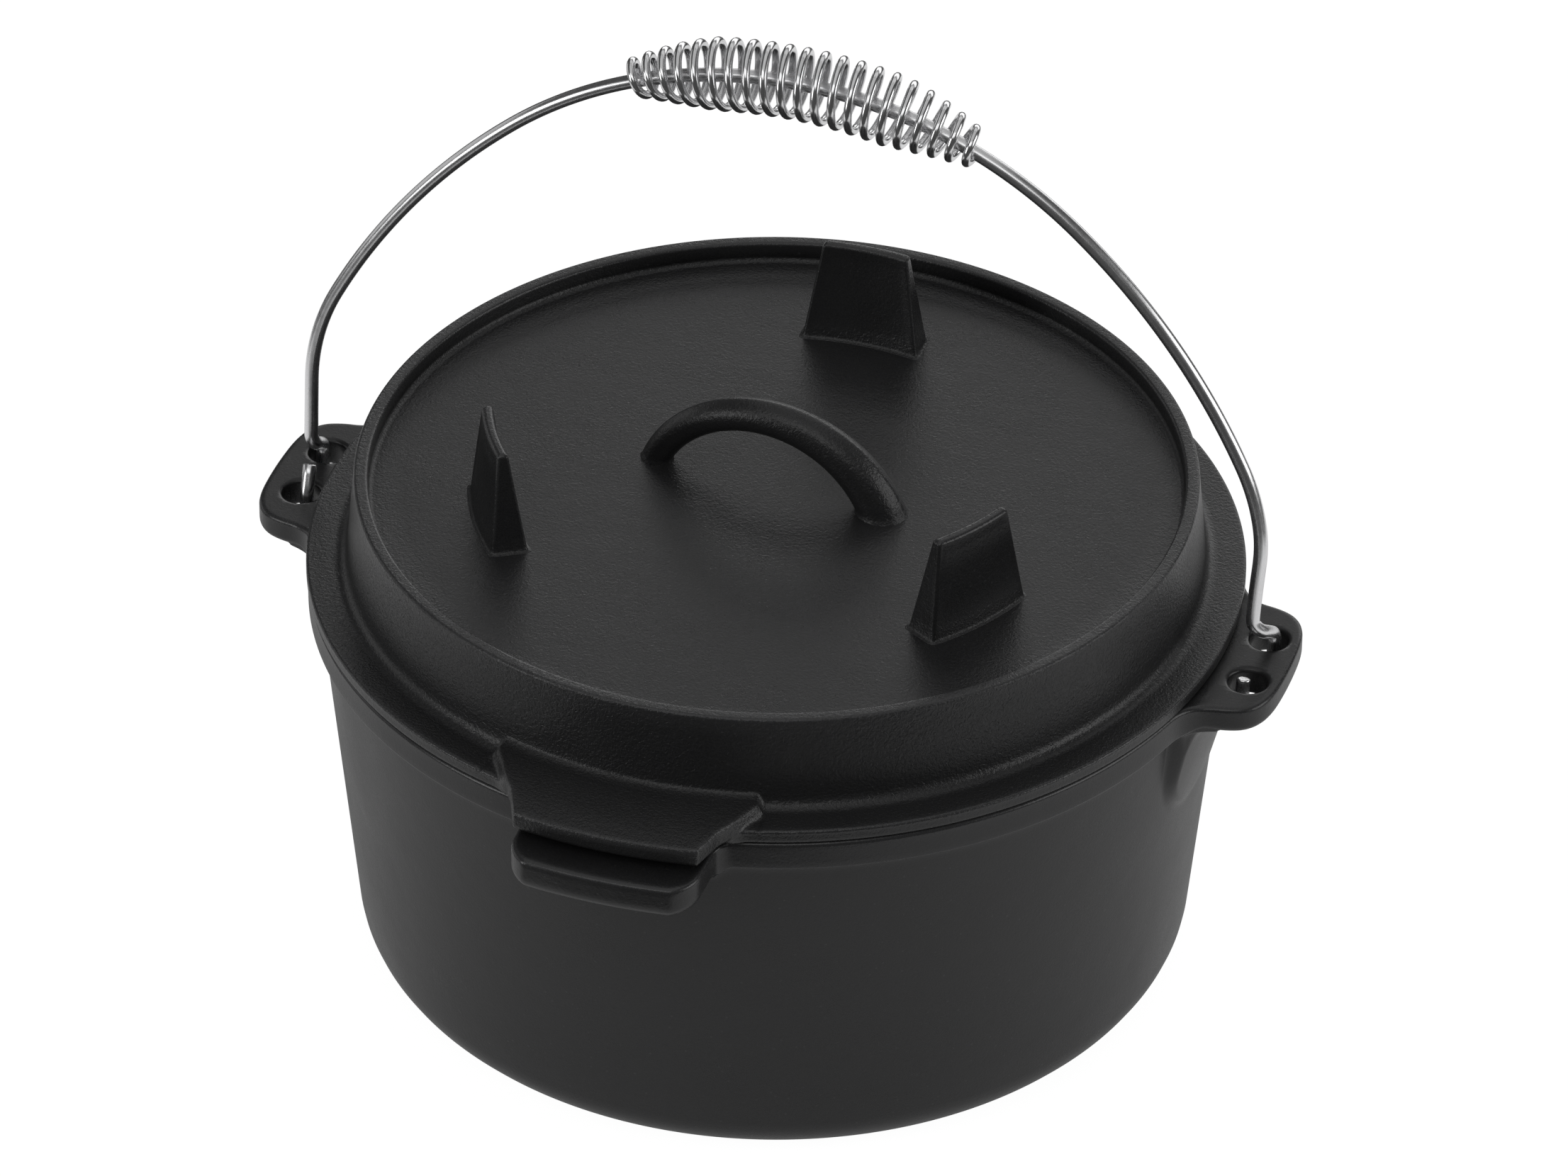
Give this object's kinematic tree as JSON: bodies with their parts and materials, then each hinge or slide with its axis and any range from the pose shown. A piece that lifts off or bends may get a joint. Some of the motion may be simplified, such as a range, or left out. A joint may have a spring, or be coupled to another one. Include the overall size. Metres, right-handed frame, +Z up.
{
  "type": "camp dutch oven",
  "caption": "Cast iron camp oven: flat-based pot with pierced ears, flanged lid with coal tray, griddle legs and loop handle, and a hooked wire bail with a coil spring grip.",
  "frame": {"origin": "centre of the flat base on which the pot stands", "axes": "+Z up, +X towards one ear of the pot, -Y towards the front tabs"},
  "size_m": [0.342, 0.3255, 0.3196],
  "materials": {
    "pot_iron": "seasoned black casting, satin, with fine sand grain",
    "lid_iron": "seasoned black casting, satin, with fine sand grain",
    "bail_steel": "bright drawn stainless wire",
    "spring_steel": "bright drawn stainless wire"
  },
  "bodies": {
    "pot": {"pot": "pot_iron"},
    "lid": {"lid": "lid_iron"},
    "bail": {"bail_wire": "bail_steel", "coil_grip": "spring_steel"}
  },
  "joints": [
    {"name": "lid_lift", "type": "slide", "parent": "pot", "child": "lid", "axis": [0, 0, 1], "range_m": [0, 0.044]},
    {"name": "bail_swing", "type": "hinge", "parent": "pot", "child": "bail", "pos_m": [0, 0, 0.13075], "axis": [1, 0, 0], "range_deg": [-61, 71]}
  ]
}
